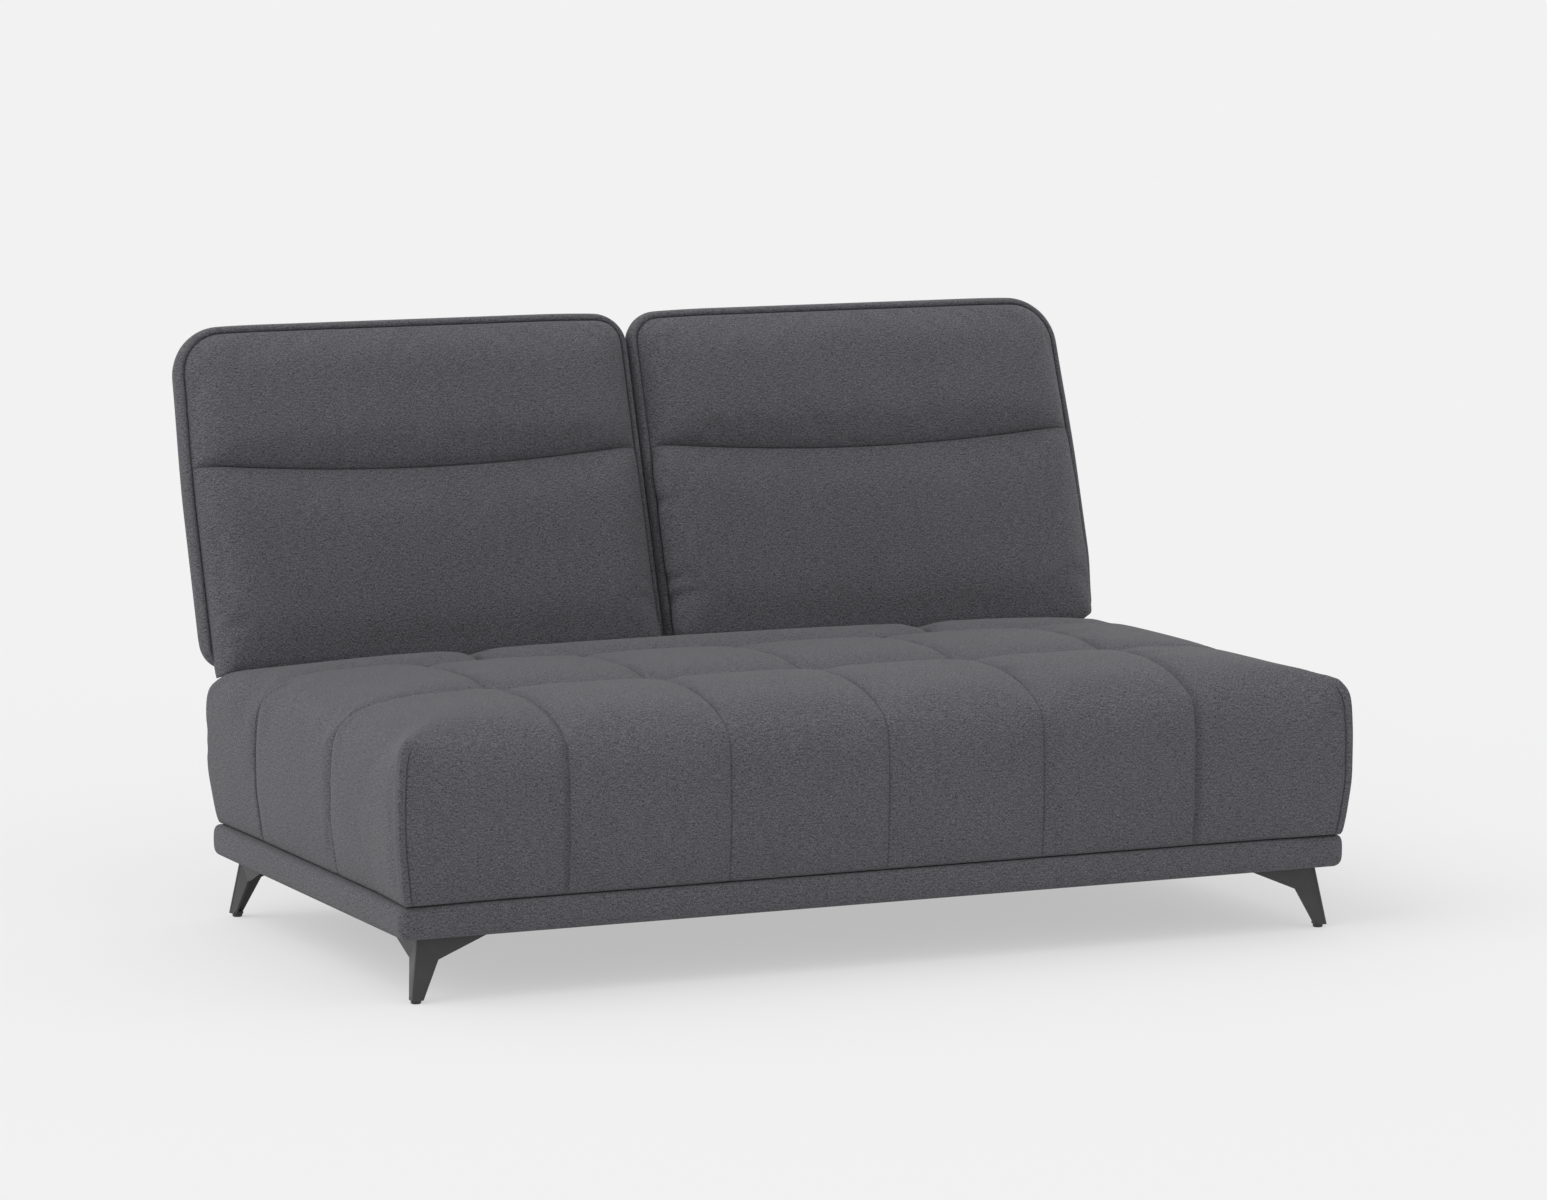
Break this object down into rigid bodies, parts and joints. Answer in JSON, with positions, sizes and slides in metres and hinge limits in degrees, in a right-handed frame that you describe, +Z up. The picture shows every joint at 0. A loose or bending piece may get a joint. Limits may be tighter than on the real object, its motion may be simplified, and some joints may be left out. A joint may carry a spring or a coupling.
{
  "type": "armless sofa",
  "caption": "Armless two-seat sofa: tufted deep seat on a fabric plinth with splayed metal legs, and two separate channelled backrests that slide fore and aft.",
  "frame": {"origin": "on the floor, under the middle of the overall box", "axes": "+Z up, the front faces -Y, X runs along the sofa's width"},
  "size_m": [1.6238, 1.0718, 0.9385],
  "materials": {
    "upholstery": "woven charcoal, slightly heathered",
    "lining": "non-woven, black",
    "webbing": "elastic webbing",
    "felt": "pressed felt",
    "timber": "planed softwood",
    "plywood": "birch plywood",
    "leg_metal": "satin black powder coat",
    "bright_steel": "zinc plated",
    "nylon": "moulded",
    "stop_rubber": "matt"
  },
  "bodies": {
    "base": {"plinth_band_front": "upholstery", "plinth_band_rear": "upholstery", "plinth_band_left": "upholstery", "plinth_band_right": "upholstery", "border_front": "upholstery", "border_rear": "upholstery", "border_left": "upholstery", "border_right": "upholstery", "seat_cushion": "upholstery", "rear_pad_left": "upholstery", "rear_pad_centre": "upholstery", "rear_pad_right": "upholstery", "base_rail_front": "timber", "base_rail_rear": "timber", "base_rail_left": "timber", "base_rail_right": "timber", "base_cross_rail_left": "timber", "base_cross_rail_right": "timber", "corner_blocks": "timber", "seat_board_front": "timber", "seat_board_rear": "timber", "seat_board_left": "timber", "seat_board_right": "timber", "slide_joist_left_inner": "timber", "slide_joist_left_outer": "timber", "slide_joist_right_inner": "timber", "slide_joist_right_outer": "timber", "dust_cover": "lining", "seat_webbing": "webbing", "spring_felt": "felt", "leg_front_left": "leg_metal", "glide_front_left": "nylon", "leg_front_right": "leg_metal", "glide_front_right": "nylon", "leg_rear_left": "leg_metal", "glide_rear_left": "nylon", "leg_rear_right": "leg_metal", "glide_rear_right": "nylon", "leg_screws": "bright_steel", "slide_rail_left": "bright_steel", "slide_rail_right": "bright_steel", "rail_screws": "bright_steel", "rail_stops": "stop_rubber"},
    "backrest_left": {"carriage_bar_left": "bright_steel", "slide_shoes_left": "nylon", "back_arm_left": "bright_steel", "arm_bolts_left": "bright_steel", "back_board_left": "plywood", "back_cover_left": "upholstery", "back_pad_left": "upholstery"},
    "backrest_right": {"carriage_bar_right": "bright_steel", "slide_shoes_right": "nylon", "back_arm_right": "bright_steel", "arm_bolts_right": "bright_steel", "back_board_right": "plywood", "back_cover_right": "upholstery", "back_pad_right": "upholstery"}
  },
  "joints": [
    {"name": "backrest_left_slide", "type": "slide", "parent": "base", "child": "backrest_left", "axis": [0, -0.9781, 0.2079], "range_m": [0, 0.16]},
    {"name": "backrest_right_slide", "type": "slide", "parent": "base", "child": "backrest_right", "axis": [0, -0.9781, 0.2079], "range_m": [0, 0.16]}
  ]
}
